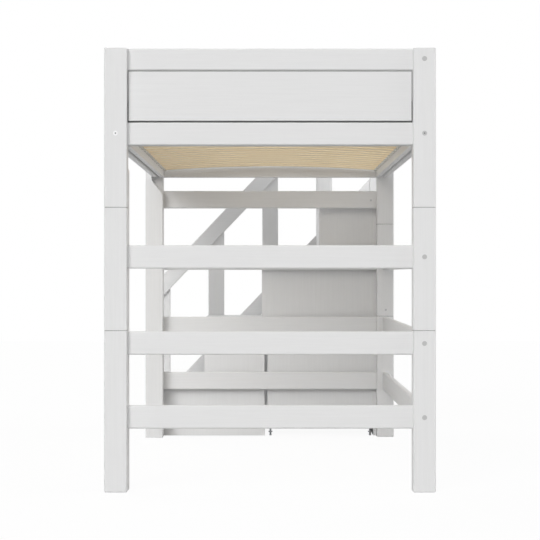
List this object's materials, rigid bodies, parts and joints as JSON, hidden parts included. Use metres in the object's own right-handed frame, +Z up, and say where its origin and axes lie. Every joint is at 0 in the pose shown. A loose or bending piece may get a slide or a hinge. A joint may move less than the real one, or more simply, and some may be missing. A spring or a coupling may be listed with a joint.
{
  "type": "loft bed with storage stairs",
  "caption": "mid-height loft bed of painted wood: jointed square posts, guard panels, bowed slats, and a staircase of drawers with a handrail across its far end",
  "frame": {"origin": "on the floor, at the middle of the bed and its stairs together", "axes": "+Z up; +X across the bed, from the open front side to the wall side; +Y along the bed, from the near end to the stairs at the far end"},
  "size_m": [1.02, 2.627, 1.367],
  "materials": {
    "painted_wood": "white satin paint on solid wood",
    "slat_wood": "clear-lacquered laminated beech",
    "zinc_steel": "bright zinc plate"
  },
  "bodies": {
    "bed_and_stairs": {"near_left_post_lower": "painted_wood", "near_left_post_middle": "painted_wood", "near_left_post_upper": "painted_wood", "near_right_post_lower": "painted_wood", "near_right_post_middle": "painted_wood", "near_right_post_upper": "painted_wood", "far_right_post_lower": "painted_wood", "far_right_post_middle": "painted_wood", "far_right_post_upper": "painted_wood", "far_left_post": "painted_wood", "near_left_support_post": "painted_wood", "far_left_support_post": "painted_wood", "near_end_top_rail": "painted_wood", "near_end_panel": "painted_wood", "near_end_base_rail": "painted_wood", "near_end_upper_brace": "painted_wood", "near_end_middle_brace": "painted_wood", "near_end_lower_brace": "painted_wood", "far_end_base_rail": "painted_wood", "far_end_step_rail": "painted_wood", "far_end_upper_brace": "painted_wood", "far_end_middle_brace": "painted_wood", "far_end_lower_brace": "painted_wood", "far_guard_board": "painted_wood", "far_guard_post": "painted_wood", "wall_side_top_rail": "painted_wood", "wall_side_panel": "painted_wood", "wall_side_base_rail": "painted_wood", "wall_side_upper_brace": "painted_wood", "wall_side_middle_brace": "painted_wood", "wall_side_lower_brace": "painted_wood", "front_side_top_rail": "painted_wood", "front_side_panel": "painted_wood", "front_side_base_rail": "painted_wood", "slat_frame": "painted_wood", "slats": "slat_wood", "left_module_inner_panel": "painted_wood", "left_module_outer_panel": "painted_wood", "left_module_bottom": "painted_wood", "right_module_inner_panel": "painted_wood", "right_module_outer_panel": "painted_wood", "right_module_shelf": "painted_wood", "right_end_panel": "painted_wood", "tread_1": "painted_wood", "tread_2": "painted_wood", "tread_3": "painted_wood", "tread_4": "painted_wood", "stringer": "painted_wood", "handrail": "painted_wood", "baluster_1": "painted_wood", "baluster_2": "painted_wood", "baluster_3": "painted_wood", "baluster_4": "painted_wood", "newel_post": "painted_wood"},
    "drawer_1": {"drawer_1": "painted_wood"},
    "drawer_2": {"drawer_2": "painted_wood"},
    "drawer_3": {"drawer_3": "painted_wood"},
    "drawer_4": {"drawer_4": "painted_wood"},
    "levelling_foot_left": {"levelling_foot_left": "zinc_steel"},
    "levelling_foot_right": {"levelling_foot_right": "zinc_steel"}
  },
  "joints": [
    {"name": "drawer_1_slide", "type": "slide", "parent": "bed_and_stairs", "child": "drawer_1", "axis": [-1, 0, 0], "range_m": [0, 0.4]},
    {"name": "drawer_2_slide", "type": "slide", "parent": "bed_and_stairs", "child": "drawer_2", "axis": [-1, 0, 0], "range_m": [0, 0.16]},
    {"name": "drawer_3_slide", "type": "slide", "parent": "bed_and_stairs", "child": "drawer_3", "axis": [-1, 0, 0], "range_m": [0, 0.375]},
    {"name": "drawer_4_slide", "type": "slide", "parent": "bed_and_stairs", "child": "drawer_4", "axis": [-1, 0, 0], "range_m": [0, 0.14]},
    {"name": "levelling_foot_left_turn", "type": "hinge", "parent": "bed_and_stairs", "child": "levelling_foot_left", "pos_m": [0.002, 0.797, 0], "axis": [0, 0, 1], "continuous": true},
    {"name": "levelling_foot_right_turn", "type": "hinge", "parent": "bed_and_stairs", "child": "levelling_foot_right", "pos_m": [0.416, 0.797, 0], "axis": [0, 0, 1], "continuous": true}
  ]
}
